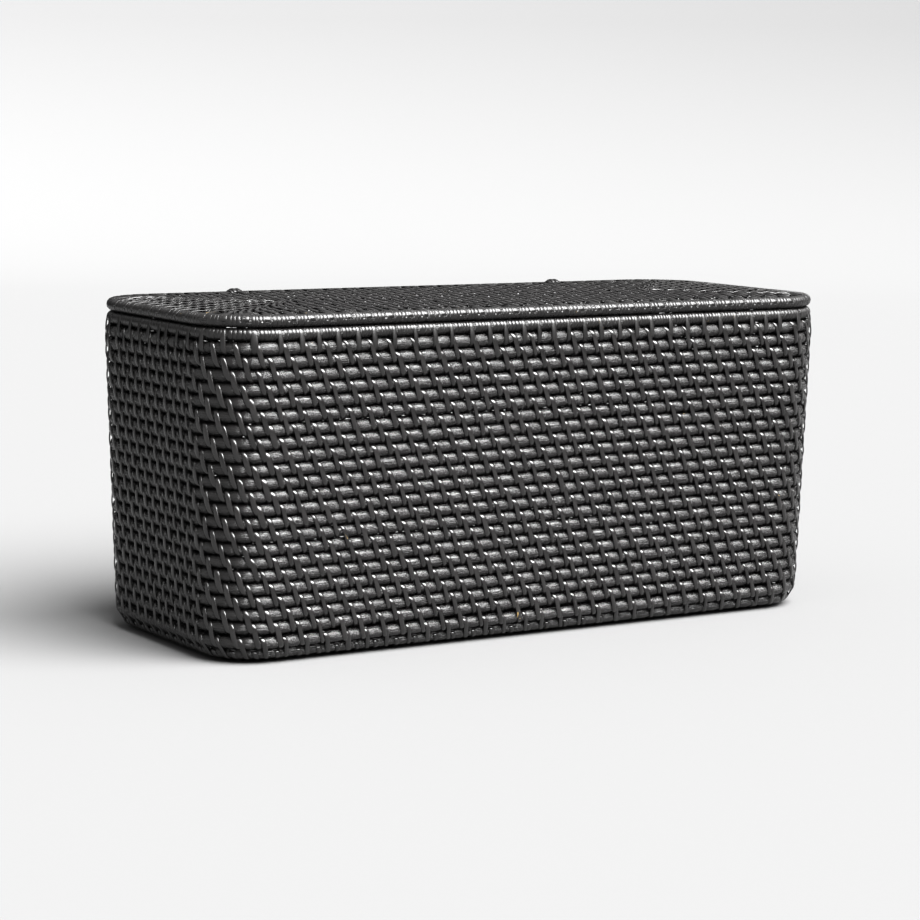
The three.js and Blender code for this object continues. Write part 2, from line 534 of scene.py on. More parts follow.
def rod_tree(outline: bpy.types.NodeTree) -> bpy.types.NodeTree:
    """A geometry tree: one turn of rod, slightly uneven, that swells a little between its stitches.

    The tree's geometry is a cloud of points, one for each stitch that crosses the rod. Each has its place
    along this rod's outline, or along the outline above it.

    Returns:
        The tree.
    """
    inputs: dict[str, Any] = {
        "Geometry": "geometry",
        **two_outlines("Last"),
        "Length": 1.0,
        "Last length": 1.0,
        "Rod radius": 3.4 * MM,
        "Pinch": 0.925,
        "Swelling": 1.085,
        "Step": 2.0 * MM,
        "Sides": ROD_SIDES,
        "Unevenness": 0.25 * MM,
        "Seed": 0.0,
        "Material": "material",
    }
    graph, given, out = new_tree("turn_of_rod", "GeometryNodeTree", inputs, {"Geometry": "geometry"})
    curve, last = both_outlines(graph, outline, given, "Last")

    crossing = named(graph, "place")
    own = graph.math("FLOORED_MODULO", crossing, given["Length"])
    above = graph.math("FLOORED_MODULO", crossing, given["Last length"])
    places = (sample(graph, line, at)["Position"] for line, at in ((curve, own), (last, above)))
    tied = graph.mix(named(graph, "above"), *places, "VECTOR")
    edges = graph.add("GeometryNodeCurveToMesh", {"Curve": curve}).outputs[0]
    moved = {"Geometry": given["Geometry"], "Position": nearest_on(graph, edges, tied)}
    ties = graph.add("GeometryNodeSetPosition", moved).outputs[0]

    stepped = graph.add("GeometryNodeResampleCurve", {"Curve": curve, "Length": given["Step"]}, mode="LENGTH")
    length = graph.add("GeometryNodeSplineParameter").outputs["Length"]
    place = graph.add("GeometryNodeInputPosition").outputs[0]
    away = graph.add("GeometryNodeProximity", {"Geometry": ties}, target_element="POINTS").outputs["Distance"]
    free = graph.add(
        "ShaderNodeMapRange",
        {0: away, 1: PINCHED_TO, 2: FREE_FROM, 3: given["Pinch"], 4: given["Swelling"]},
        interpolation_type="SMOOTHSTEP",
    ).outputs[0]
    shift = graph.combine(given["Seed"], graph.math("MULTIPLY", given["Seed"], 1.7), 0.0)
    shifted = graph.vector("ADD", place, shift)
    lumps = graph.spread(graph.noise(shifted, LUMP_SCALE, detail=1.0), 0.25, 0.75, THINNEST, THICKEST)
    thickness = graph.math("MULTIPLY", free, lumps)
    sized = store(graph, stepped.outputs[0], "thickness", thickness, "FLOAT")
    kept = store(graph, sized, "along", graph.math("ADD", length, given["Seed"]), "FLOAT")
    swaying = {"Vector": shifted, "Scale": SWAY_SCALE, "Detail": 1.0}
    sway = graph.add("ShaderNodeTexNoise", swaying).outputs["Color"]
    doubled = graph.math("MULTIPLY", given["Unevenness"], 2.0)
    offset = graph.scale(graph.vector("SUBTRACT", sway, (0.5, 0.5, 0.5)), doubled)
    swayed = graph.add("GeometryNodeSetPosition", {"Geometry": kept, "Offset": offset}).outputs[0]
    toned = store(graph, swayed, "tone", graph.noise(shifted, TONE_SCALE, detail=1.0), "FLOAT")
    round_section = graph.add(
        "GeometryNodeCurvePrimitiveCircle", {"Resolution": given["Sides"], "Radius": given["Rod radius"]}
    )
    on_section = graph.add("GeometryNodeInputPosition").outputs[0]
    section = store(graph, round_section.outputs[0], "across", on_section, "FLOAT_VECTOR")
    sweep = {"Curve": toned, "Profile Curve": section, "Scale": named(graph, "thickness")}
    swept = graph.add("GeometryNodeCurveToMesh", sweep)
    across_x, across_y, _ = graph.split(named(graph, "across", "FLOAT_VECTOR"))
    on_strand = graph.combine(named(graph, "along"), across_x, across_y)
    fibre = store(graph, swept.outputs[0], "fibre", on_strand, "FLOAT_VECTOR")
    realized = graph.add("GeometryNodeRealizeInstances", {"Geometry": fibre})
    graph.feed(out["Geometry"], finish_mesh(graph, realized.outputs[0], given["Material"]))
    return graph.tree


def lashing_tree(outline: bpy.types.NodeTree) -> bpy.types.NodeTree:
    """A geometry tree: flat cane that winds round two neighbouring rods, one turn at each given place.

    The tree's geometry is a cloud of points, each with the place of its turn along the first rod. The
    turn's own mesh is unrolled: X across the strip, Y its thickness, and attributes that say how far
    round and how far along the turn each of its stations is.

    Returns:
        The tree.
    """
    inputs: dict[str, Any] = {
        "Geometry": "geometry",
        "Turn": "object",
        **two_outlines("Next"),
        "Length": 1.0,
        "Rod radius": 2.9 * MM,
        "Next rod radius": 2.9 * MM,
        "Cane width": 3.3 * MM,
        "Cane thickness": 0.72 * MM,
        "Outside": 1.0,
        "Material": "material",
    }
    graph, given, out = new_tree("cane_lashing", "GeometryNodeTree", inputs, {"Geometry": "geometry"})
    first, second = both_outlines(graph, outline, given, "Next")
    second_edges = graph.add("GeometryNodeCurveToMesh", {"Curve": second}).outputs[0]

    turn = graph.add("GeometryNodeObjectInfo", {"Object": given["Turn"]}).outputs["Geometry"]
    placed = graph.add("GeometryNodeInstanceOnPoints", {"Points": given["Geometry"], "Instance": turn})
    turns = graph.add("GeometryNodeRealizeInstances", {"Geometry": placed.outputs[0]}).outputs[0]

    across, thickness, _ = graph.split(graph.add("GeometryNodeInputPosition").outputs[0])
    between, round_angle, advance = (named(graph, name) for name in ("between", "round", "advance"))
    width = graph.math("MULTIPLY", given["Cane width"], named(graph, "breadth"))
    along = graph.math(
        "MULTIPLY_ADD", across, width, graph.math("MULTIPLY", advance, named(graph, "pitch"))
    )
    raw_place = graph.math("MULTIPLY_ADD", along, given["Outside"], named(graph, "place"))
    place = graph.math("FLOORED_MODULO", raw_place, given["Length"])
    on_first = sample(graph, first, place)
    centre = on_first["Position"]
    nearest = nearest_on(graph, second_edges, centre)
    towards = graph.vector("NORMALIZE", graph.vector("SUBTRACT", nearest, centre))
    across_both = graph.vector("CROSS_PRODUCT", towards, on_first["Tangent"])
    outwards = graph.scale(across_both, given["Outside"])
    rod_radius = graph.mix(between, given["Rod radius"], given["Next rod radius"])
    lift = graph.math("MULTIPLY", named(graph, "lift"), given["Cane thickness"])
    radius = graph.math(
        "ADD", rod_radius, graph.math("MULTIPLY_ADD", thickness, given["Cane thickness"], lift)
    )
    middle = graph.mix(between, centre, nearest, "VECTOR")
    direction = graph.vector(
        "SUBTRACT",
        graph.scale(outwards, graph.math("COSINE", round_angle)),
        graph.scale(towards, graph.math("SINE", round_angle)),
    )
    position = graph.vector("ADD", middle, graph.scale(direction, radius))
    wound = graph.add("GeometryNodeSetPosition", {"Geometry": turns, "Position": position}).outputs[0]
    own = graph.combine(named(graph, "place"), graph.math("MULTIPLY", named(graph, "tone"), 0.02), 0.0)
    on_strip = graph.vector("ADD", named(graph, "fibre", "FLOAT_VECTOR"), own)
    grained = store(graph, wound, "fibre", on_strip, "FLOAT_VECTOR")
    graph.feed(out["Geometry"], finish_mesh(graph, grained, given["Material"]))
    return graph.tree


# Courses


@dataclass(frozen=True)
class Course:
    """The middle line of one turn of the coil, as a rounded rectangle at one height."""

    name: str
    half_length: float
    half_depth: float
    corner: float
    height: float
    radius: float  # of the rod, without its binding

    @property
    def arc(self) -> float:
        """Length of one corner, along its straight steps."""
        return CORNER_STEPS * 2 * self.corner * math.sin(math.pi / 4 / CORNER_STEPS)

    @property
    def sides(self) -> list[float]:
        """Lengths of the back, left, front and right sides between the corners."""
        long_side = 2 * (self.half_length - self.corner)
        short_side = 2 * (self.half_depth - self.corner)
        return [long_side, short_side, long_side, short_side]

    @property
    def length(self) -> float:
        """Length of the whole turn."""
        return sum(self.sides) + 4 * self.arc

    def inputs(self, prefix: str = "") -> dict[str, float]:
        """The course's values for an outline in a geometry tree."""
        values = (self.half_length, self.half_depth, self.corner, self.height)
        names = (f"{prefix}{name.lower()}" if prefix else name for name in OUTLINE_INPUTS)
        return dict(zip(names, values))


@dataclass(frozen=True)
class CourseMaker:
    """Works out the courses from the boxes of the CAD nodes."""

    top_half_length: float
    rise: dict[str, float]  # how far a course sits above its CAD node
    cane: float = 0.72 * MM  # thickness of the binding, which goes under the lowest rods

    def course(self, node: str) -> Course:
        """The course that a CAD node stands for.

        Args:
            node: the name of a ring or of a start rod.

        Returns:
            The course.
        """
        low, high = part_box(node)
        section = (high.z - low.z) / 2
        half_length = (high.x - low.x) / 2 - section
        half_depth = (high.y - low.y) / 2 - section
        inset = self.top_half_length - half_length
        height = (low.z + high.z) / 2
        radius = min(section, height - self.cane)
        height += self.rise.get(node, 0.0)
        if node.endswith("start_rod"):
            return Course(node, half_length, ALMOST_NOTHING, ALMOST_NOTHING / 2, height, radius)
        corner = max(CORNER_RADIUS - inset, TIGHTEST_BEND)
        return Course(node, half_length, half_depth, corner, height, radius)


# Stitches


Section = tuple[tuple[float, float], ...]  # points across a strip, each with its height in thicknesses


def strip_section(*half: tuple[float, float]) -> Section:
    """A strip's section from the points between its left edge and its middle, which is one thickness high."""
    return (*half, (0.0, 1.0), *((-x, height) for x, height in reversed(half)))


CROWNED = strip_section((-0.5, -0.1), (-0.44, 0.6), (-0.2, 0.93))
FLAT = strip_section((-0.5, 0.1), (-0.47, 0.72), (-0.38, 0.93))


@dataclass(frozen=True)
class Station:
    """One section of a turn of cane.

    between: 0 round the first rod, 1 round the second.
    angle: 0 outside, a quarter turn towards the gap before the first rod.
    advance: share of the pitch that the strip has moved along by here.
    lift: height over the rod, in thicknesses.
    """

    between: float
    angle: float
    advance: float
    lift: float = 0.0


# The names that the lashing tree reads a station's values under.
STATION_NAMES = {"between": "between", "round": "angle", "advance": "advance", "lift": "lift"}


@dataclass(frozen=True)
class TurnShape:
    """One turn of cane as an unrolled strip."""

    name: str
    stations: tuple[Station, ...]
    section: Section

    def build(self) -> bpy.types.Object:
        """Makes the strip's mesh.

        Returns:
            An object to be wound by the lashing tree.
        """
        around = len(self.section)
        places = [(x, y, 0.0) for _ in self.stations for x, y in self.section]
        faces = [tuple(range(around - 1, -1, -1)), *ring_faces(len(self.stations), around, inward=True)]
        last = (len(self.stations) - 1) * around
        faces.append(tuple(range(last, last + around)))
        mesh = bpy.data.meshes.new(self.name)
        mesh.from_pydata(places, [], faces)
        for label, key in STATION_NAMES.items():
            spread = [getattr(station, key) for station in self.stations for _ in range(around)]
            mesh.attributes.new(label, "FLOAT", "POINT").data.foreach_set("value", spread)
        step, width, thickness = 2.0 * MM, 3.0 * MM, 0.5 * MM  # of the strip, for its fibres only
        fibre = [
            number
            for index in range(len(self.stations))
            for x, y in self.section
            for number in (index * step, x * width, y * thickness)
        ]
        mesh.attributes.new("fibre", "FLOAT_VECTOR", "POINT").data.foreach_set("vector", fibre)
        return add_object(self.name, mesh)


def stitch_shape(slant: float, section: Section = CROWNED, bulge: float = 0.5) -> TurnShape:
    """The turn that lashes two rods together.

    Args:
        slant: share of the pitch that the strip moves along on the outside.
        section: the strip's section.
        bulge: how far the strip stands off between the rods, in thicknesses.

    Returns:
        The turn, from the gap before the first rod round both rods and back to that gap.
    """
    bend = 0.34  # share of the slant that each rod's outer quarter turn takes
    hidden_bend = 0.35  # share of the rest that each rod's hidden quarter turn takes
    rest = 1 - slant
    stations = []
    for step in range(5):
        stations.append(Station(0.0, QUARTER * (1 - step / 4), slant * bend * step / 4, 0.1 - 0.06 * step))
    for share, lift in ((0.25, 0.44 * bulge), (0.5, bulge), (0.75, bulge)):
        stations.append(Station(share, 0.0, slant * (bend + (1 - 2 * bend) * share), lift))
    for step in range(5):
        lift = 0.1 + bulge * (0.4 - 0.1 * step)
        stations.append(Station(1.0, -QUARTER * step / 4, slant * (1 - bend + bend * step / 4), lift))
    for step in range(1, 4):
        advance = slant + rest * hidden_bend * step / 3
        stations.append(Station(1.0, -QUARTER * (1 + step / 3), advance))
    stations.append(Station(0.5, -2 * QUARTER, slant + rest * 0.5, -0.3))
    for step in range(4):
        advance = slant + rest * (1 - hidden_bend + hidden_bend * step / 3)
        stations.append(Station(0.0, QUARTER * (2 - step / 3), advance))
    return TurnShape("stitch", tuple(stations), section)


def wrap_shape(steps: int) -> TurnShape:
    """The turn that goes once round a single rod, and moves along mostly on its hidden side."""
    steady = 0.12  # share of the pitch that it moves along evenly
    lateness = 7  # the higher, the later the rest of the advance comes
    stations = []
    for step in range(steps + 1):
        turn = step / steps
        hidden = (2 * abs(turn - 0.5)) ** lateness * math.copysign(1, turn - 0.5)
        advance = 0.5 + steady * (turn - 0.5) + (0.5 - steady / 2) * hidden
        stations.append(Station(0.0, math.pi * (1 - 2 * turn), advance))
    return TurnShape("wrap", tuple(stations), FLAT)


def hinge_shape(steps: int) -> TurnShape:
    """The turn that holds two rims together and leaves the first one free to turn inside it."""
    whole = 2 * steps + 2
    stations = [Station(0.0, math.pi * (1 - step / steps), step / whole) for step in range(steps + 1)]
    for step in range(steps + 1):
        stations.append(Station(1.0, -math.pi * step / steps, (steps + 1 + step) / whole))
    stations += [Station(0.0, math.pi, 1.0)]
    return TurnShape("hinge_turn", tuple(stations), CROWNED)


@dataclass
class Turns:
    """Where the turns of one strand go along a course, and how each differs a little."""

    place: list[float] = field(default_factory=list)
    pitch: list[float] = field(default_factory=list)
    breadth: list[float] = field(default_factory=list)
    tone: list[float] = field(default_factory=list)

    def add(self, place: float, pitch: float, breadth: float, tone: float) -> None:
        """Adds one turn."""
        self.place.append(place)
        self.pitch.append(pitch)
        self.breadth.append(breadth)
        self.tone.append(tone)

    def cloud(self, name: str) -> bpy.types.Object:
        """The turns as a cloud of points for the lashing tree."""
        columns = {"place": self.place, "pitch": self.pitch, "breadth": self.breadth, "tone": self.tone}
        return point_cloud(name, columns)


@dataclass(frozen=True)
class StitchPlan:
    """The spacing of the stitches round the basket."""

    long_pitch: float = 14.3 * MM  # on the long sides
    short_pitch: float = 11.6 * MM  # on the short sides
    row_shift: float = 0.4  # of a pitch, from one row to the next
    jitter: float = 0.045  # of a pitch
    bulges: tuple[tuple[str, float], ...] = (("wall", 0.5), ("foot", 0.0), ("base", 0.0), ("lid", 0.9))
    slant: float = 0.46  # of a pitch, on the outside
    own_tie: float = 0.12  # of the slant, from a stitch's place to where it crosses its first rod
    next_tie: float = 0.85  # of the slant, from a stitch's place to where it crosses its second rod
    sink: float = 0.95  # of a rod's radius, under the cane
    pitch_spread: float = 0.05
    width_spread: float = 0.09
    fullness: float = 1.04  # of a rod between its stitches, against the CAD section
    lid_fullness: float = 0.96  # the same on the lid, whose courses lie less tightly

    def vary(self, turns: Turns, place: float, pitch: float, chance: random.Random) -> None:
        """Adds a turn whose place, slant, width and tone are a little off."""
        moved = place + chance.gauss(0.0, self.jitter) * pitch
        varied = pitch * chance.gauss(1.0, self.pitch_spread)
        turns.add(moved, varied, chance.gauss(1.0, self.width_spread), chance.random())

    def around_wall(self, course: Course, row: int, count: int, chance: random.Random) -> Turns:
        """Stitches right round a course of the wall, the same number in every row.

        Args:
            course: the course that they start on.
            row: the row's number from the top, which sets how far the stitches are shifted.
            count: how many stitches there are.
            chance: the source of the small differences.

        Returns:
            The turns.
        """
        corner_pitch = (self.long_pitch + self.short_pitch) / 2
        knots, phases = [0.0], [0.0]
        for side, pitch in zip(course.sides, (self.long_pitch, self.short_pitch) * 2):
            knots += [knots[-1] + course.arc, knots[-1] + course.arc + side]
            corner_phase = phases[-1] + course.arc / corner_pitch
            phases += [corner_phase, corner_phase + side / pitch]
        fit = count / phases[-1]
        phases = [phase * fit for phase in phases]
        turns = Turns()
        for number in range(count):
            phase = (number + self.row_shift * row) % count
            part = next(index for index in range(1, len(phases)) if phase <= phases[index])
            pitch = (knots[part] - knots[part - 1]) / (phases[part] - phases[part - 1])
            self.vary(turns, knots[part - 1] + (phase - phases[part - 1]) * pitch, pitch, chance)
        return turns

    def wall_count(self, course: Course) -> int:
        """How many stitches fit round a course of the wall."""
        corner_pitch = (self.long_pitch + self.short_pitch) / 2
        sides = course.sides[0] / self.long_pitch + course.sides[1] / self.short_pitch
        return round(2 * sides + 4 * course.arc / corner_pitch)

    def on_panel(self, course: Course, row: int, outside: float, chance: random.Random) -> Turns:
        """Stitches on a course of a flat panel, in line with the next row on each side.

        Args:
            course: the course that they start on.
            row: the row's number from the outside.
            outside: 1 where the strand moves anticlockwise, -1 where it moves clockwise.
            chance: the source of the small differences.

        Returns:
            The turns, with a few of them spread evenly over each corner.
        """
        marks: list[tuple[float, float]] = []
        start = 0.0
        for side, pitch in zip(course.sides, (self.long_pitch, self.short_pitch) * 2):
            middle = start + course.arc + side / 2
            reach = side / 2 + course.arc / 2 - 0.2 * pitch
            shift = (self.row_shift * row * outside) % 1.0
            for step in range(-int(reach / pitch) - 2, int(reach / pitch) + 3):
                offset = (step + shift) * pitch
                if abs(offset) <= reach:
                    marks.append((middle + offset, pitch))
            start += course.arc + side
        marks.sort()
        turns = Turns()
        next_marks = marks[1:] + [(marks[0][0] + course.length, 0.0)]
        for (place, pitch), (following, _) in zip(marks, next_marks):
            parts = max(round((following - place) / pitch), 1)
            step = (following - place) / parts
            for part in range(parts):
                self.vary(turns, place + part * step, pitch, chance)
        return turns


@dataclass(frozen=True)
class RimPlan:
    """The order of turns on a rim: a stitch that takes in the next course, then turns round the rim alone."""

    stitch_width: float = 3.4 * MM
    wrap_width: float = 2.35 * MM
    wraps: int = 4  # between two stitches, give or take one
    joint_step: float = 0.55 * MM  # the bare step where one strip ends and the next begins
    joint_breadth: float = 1.35  # of the first turn after a joint
    tone_spread: float = 0.25
    stitch_spread: float = 0.08
    wrap_spread: float = 0.14

    def lay(self, course: Course, joints: Sequence[float], chance: random.Random) -> tuple[Turns, Turns]:
        """Lays the turns one after the other right round a rim.

        Args:
            course: the rim.
            joints: the places along it where one strip of cane ends and the next begins.
            chance: the source of the small differences.

        Returns:
            The wraps and the stitches.
        """
        wraps, stitches = Turns(), Turns()
        place, left, strip_tone = 0.0, self.wraps, chance.random()
        pending = sorted(joints)
        while place < course.length:
            at_joint = bool(pending) and place >= pending[0]
            if at_joint:
                pending.pop(0)
                place += self.joint_step
                strip_tone = chance.random()
            tone = min(max(strip_tone + chance.gauss(0.0, self.tone_spread), 0.0), 1.0)
            if left <= 0 and not at_joint:
                breadth = chance.gauss(1.0, self.stitch_spread)
                step = self.stitch_width * breadth
                stitches.add(place + step / 2, step, breadth, tone)
                left = self.wraps + chance.choice((-1, 0, 0, 0, 1))
            else:
                breadth = chance.gauss(1.0, self.wrap_spread) * (self.joint_breadth if at_joint else 1.0)
                step = self.wrap_width * breadth
                wraps.add(place + step / 2, step, breadth, tone)
                left -= 1
            place += step
        return wraps, stitches


# Sub-assemblies


@dataclass
class Workshop:
    """What every sub-assembly is made with."""

    finishes: Finishes
    rods: bpy.types.NodeTree
    lashings: bpy.types.NodeTree
    maker: CourseMaker
    plan: StitchPlan

    @classmethod
    def open(cls) -> "Workshop":
        """Builds the trees and finishes."""
        outline = outline_group()
        top_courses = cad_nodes("wall_course")[::-1]
        widest = max(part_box(node)[1].x for node in top_courses)
        rise = {node: step * MM for node, step in zip(top_courses, TOP_RISES)}
        maker = CourseMaker(widest, rise)
        return cls(Finishes.build(), rod_tree(outline), lashing_tree(outline), maker, StitchPlan())

    def hand_over(self, piece: bpy.types.Object, body: Body, nodes: Iterable[str] = ()) -> None:
        """Parents a finished piece to the empty of the body that it rides on, and hides the CAD nodes that it
        stands for.

        Args:
            piece: the finished piece.
            body: the body that it moves with.
            nodes: the CAD nodes that it replaces.
        """
        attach(piece, body.value)
        names = list(nodes)
        if names:
            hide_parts(*names)
        LOG.info("%s: %d faces, on %s", piece.name, len(piece.data.polygons), body.value)

    def make_rod(
        self, course: Course, own: Turns, last: Course, above: Turns, seed: float, body: Body
    ) -> None:
        """Makes one turn of rod in place of its CAD node.

        Args:
            course: the rod's course.
            own: the stitches that start on it.
            last: the course before it.
            above: the stitches that start on the course before it.
            seed: where its unevenness starts.
            body: the body that it moves with.
        """
        plan = self.plan
        fullness = plan.lid_fullness if course.name.startswith("lid_course") else plan.fullness
        reach = plan.slant * plan.next_tie
        own_places = [place + plan.own_tie * pitch * plan.slant for place, pitch in zip(own.place, own.pitch)]
        above_places = [place + reach * pitch for place, pitch in zip(above.place, above.pitch)]
        flags = [0.0] * len(own_places) + [1.0] * len(above_places)
        host = point_cloud(f"{course.name}_ties", {"place": own_places + above_places, "above": flags})
        values: dict[str, Any] = {
            **course.inputs(),
            **last.inputs("Last "),
            "Length": course.length,
            "Last length": last.length,
            "Rod radius": course.radius * fullness,
            "Seed": seed,
            "Material": self.finishes.rod,
        }
        piece = run_tree(host, self.rods, values, f"{course.name.removesuffix('_rod')}_core")
        self.hand_over(piece, body, [course.name])

    def make_lashing(
        self,
        name: str,
        shape: TurnShape,
        turns: Turns,
        first: Course,
        second: Course,
        settings: dict[str, Any],
        body: Body,
        nodes: Iterable[str] = (),
    ) -> None:
        """Winds a strand of cane round two courses.

        Args:
            name: the piece's name.
            shape: one turn of the strand.
            turns: where its turns go.
            first: the course that each turn starts on.
            second: the neighbouring course.
            settings: other values of the lashing tree, by name.
            body: the body that it moves with.
            nodes: the CAD nodes that it replaces.
        """
        template = shape.build()
        values: dict[str, Any] = {
            **first.inputs(),
            **second.inputs("Next "),
            "Turn": template,
            "Length": first.length,
            "Rod radius": first.radius * self.plan.sink,
            "Next rod radius": second.radius * self.plan.sink,
            "Material": self.finishes.cane,
            **settings,
        }
        piece = run_tree(turns.cloud(f"{name}_places"), self.lashings, values, name)
        mesh = template.data
        bpy.data.objects.remove(template)
        bpy.data.meshes.remove(mesh)
        self.hand_over(piece, body, nodes)

    def make_start_rod(self, course: Course, body: Body) -> None:
        """Makes the straight rod that a panel's coil starts from, with round ends.

        Args:
            course: the rod's middle line.
            body: the body that it moves with.
        """
        sides, steps, cap = ROD_SIDES, 90, 4
        tip = 0.02  # share of the radius that the last ring keeps, so that the ends close
        grain_start = 1.0
        stretch = course.half_length
        turns = [index * QUARTER / cap for index in range(cap)]
        profile = [(-stretch - course.radius * math.cos(turn), math.sin(turn)) for turn in turns]
        profile += [(-stretch + 2 * stretch * index / steps, 1.0) for index in range(steps + 1)]
        profile += [(stretch + course.radius * math.sin(turn), math.cos(turn)) for turn in turns[1:]]
        profile += [(stretch + course.radius, 0.0)]
        verts: list[tuple[float, float, float]] = []
        fibre: list[float] = []
        for x, share in profile:
            for index in range(sides):
                angle = 2 * math.pi * index / sides
                y, z = (course.radius * max(share, tip) * turn(angle) for turn in (math.cos, math.sin))
                verts.append((x, y, course.height + z))
                fibre += [x + grain_start, y, z]
        faces = [tuple(range(sides)), *ring_faces(len(profile), sides)]
        faces.append(tuple(range(len(verts) - 1, len(verts) - 1 - sides, -1)))
        mesh = bpy.data.meshes.new(f"{course.name}_piece")
        mesh.from_pydata(verts, [], faces)
        mesh.attributes.new("fibre", "FLOAT_VECTOR", "POINT").data.foreach_set("vector", fibre)
        mesh.attributes.new("tone", "FLOAT", "POINT").data.foreach_set("value", [0.5] * len(verts))
        mesh.shade_smooth()
        mesh.materials.append(self.finishes.rod)
        piece = add_object(f"{course.name}_piece", mesh)
        self.hand_over(piece, body, [course.name])


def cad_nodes(prefix: str) -> list[str]:
    """The CAD nodes whose names start with a prefix, in order."""
    names = [name for members in frame["record"]["behaviour"]["bodies"].values() for name in members]
    return sorted(name for name in names if name.startswith(prefix))


@dataclass
class Rim:
    """A rim rod in its cane, stitched to the course beside it."""

    shop: Workshop
    prefix: str
    body: Body
    outside: float
    joints_x: tuple[float, ...]  # along the front
    seed: int
    stitch_slant: float
    stitch_section: Section
    plan: RimPlan = RimPlan()
    rod_radius: float = 3.25 * MM
    cane: float = 0.58 * MM

    def course(self) -> Course:
        """The rim's middle line, with the radius that its cane lies on."""
        return replace(self.shop.maker.course(f"{self.prefix}_rod"), radius=self.rod_radius)

    def build(self, neighbour: Course) -> Turns:
        """Makes the rod, the wraps and the stitches.

        Args:
            neighbour: the course beside the rim.

        Returns:
            The stitches to the neighbour.
        """
        course = self.course()
        chance = random.Random(self.seed)
        front_start = 3 * course.arc + sum(course.sides[:2])
        joints = [front_start + course.half_length - course.corner + x for x in self.joints_x]
        wraps, stitches = self.plan.lay(course, joints, chance)
        one_tie = Turns([0.0], [1.0], [1.0], [1.0])  # the tree needs a point; the wraps hide it
        self.shop.make_rod(course, one_tie, course, Turns(), self.seed * 0.01, self.body)
        halves = [f"{self.prefix}_wrap_left", f"{self.prefix}_wrap_right"]
        below = replace(course, height=course.height - 1.0 * MM)  # only says which way is down
        common = {
            "Cane width": self.plan.wrap_width,
            "Cane thickness": self.cane,
            "Rod radius": self.rod_radius,
            "Material": self.shop.finishes.wrap,
        }
        name, shape = f"{self.prefix}_wraps", wrap_shape(WRAP_STEPS)
        self.shop.make_lashing(name, shape, wraps, course, below, common, self.body, halves)
        stitching = {**common, "Cane width": self.plan.stitch_width, "Outside": self.outside}
        name, shape = f"{self.prefix}_binding", stitch_shape(self.stitch_slant, self.stitch_section)
        self.shop.make_lashing(name, shape, stitches, course, neighbour, stitching, self.body)
        return stitches


@dataclass
class Coil:
    """Courses side by side, stitched each to the next, from a rim to a start rod."""

    shop: Workshop
    body: Body
    outside: float
    prefixes: tuple[str, ...]
    start_rod: str
    seed: int

    def courses(self) -> list[Course]:
        """The courses from the rim inwards, and the start rod last."""
        names = [name for prefix in self.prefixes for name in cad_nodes(prefix)[::-1]]
        return [self.shop.maker.course(name) for name in names + [self.start_rod]]

    def build(self, rim: Rim) -> None:
        """Makes the rods and the stitches.

        Args:
            rim: the rim that the first course is stitched to.
        """
        plan = self.shop.plan
        courses = self.courses()
        count = plan.wall_count(courses[0])
        shapes = {part: stitch_shape(plan.slant, bulge=bulge) for part, bulge in plan.bulges}
        last, above = rim.course(), rim.build(courses[0])
        for row, (first, second) in enumerate(zip(courses, courses[1:])):
            chance = random.Random(self.seed + row)
            if first.name.startswith(("wall", "foot")):
                turns = plan.around_wall(first, row, count, chance)
            else:
                turns = plan.on_panel(first, row, self.outside, chance)
            shape = shapes[first.name.split("_")[0]]
            self.shop.make_rod(first, turns, last, above, 0.137 * row + self.seed * 0.001, self.body)
            name = first.name.replace("course", "binding")
            settings = {"Outside": self.outside}
            self.shop.make_lashing(name, shape, turns, first, second, settings, self.body)
            last, above = first, turns
        self.shop.make_start_rod(courses[-1], self.body)


@dataclass
class HingeLashings:
    """The two lashings of cane that hold the lid's rim on the rim of the basket."""

    shop: Workshop
    layers: tuple[int, ...] = (3, 2)  # turns in each layer, from the rims outwards
    cane_width: float = 2.9 * MM
    cane_thickness: float = 0.8 * MM
    clearance: float = 0.25 * MM
    spacing: float = 1.03  # of the cane's width

    def build(self, lid_rim: Course, body_rim: Course, cane: float) -> None:
        """Makes both lashings.

        Args:
            lid_rim: the middle line of the lid's rim.
            body_rim: the middle line of the basket's rim.
            cane: thickness of the cane on the rims.
        """
        for side in ("left", "right"):
            node = f"hinge_lashing_{side}"
            low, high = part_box(node)
            middle = lid_rim.arc + lid_rim.half_length - lid_rim.corner - (low.x + high.x) / 2
            for layer, count in enumerate(self.layers):
                turns = Turns()
                step = self.cane_width * self.spacing
                for number in range(count):
                    turns.add(middle + (number - count / 2) * step, step, 1.0, 0.3 + 0.2 * number)
                radius = lid_rim.radius + cane + self.clearance + layer * self.cane_thickness
                settings = {
                    "Rod radius": radius,
                    "Next rod radius": radius,
                    "Cane width": self.cane_width,
                    "Cane thickness": self.cane_thickness,
                    "Material": self.shop.finishes.wrap,
                }
                name = f"hinge_{side}_layer_{layer + 1}"
                nodes, shape = [node] if layer == 0 else [], hinge_shape(HINGE_STEPS)
                self.shop.make_lashing(name, shape, turns, lid_rim, body_rim, settings, Body.BASKET, nodes)


# Studio


def matt_material(name: str) -> tuple[bpy.types.Material, bpy.types.Node]:
    """A new rough material, and its shader node."""
    material = bpy.data.materials.new(name)
    material.use_nodes = True
    shader = material.node_tree.nodes["Principled BSDF"]
    shader.inputs["Roughness"].default_value = 1.0
    return material, shader


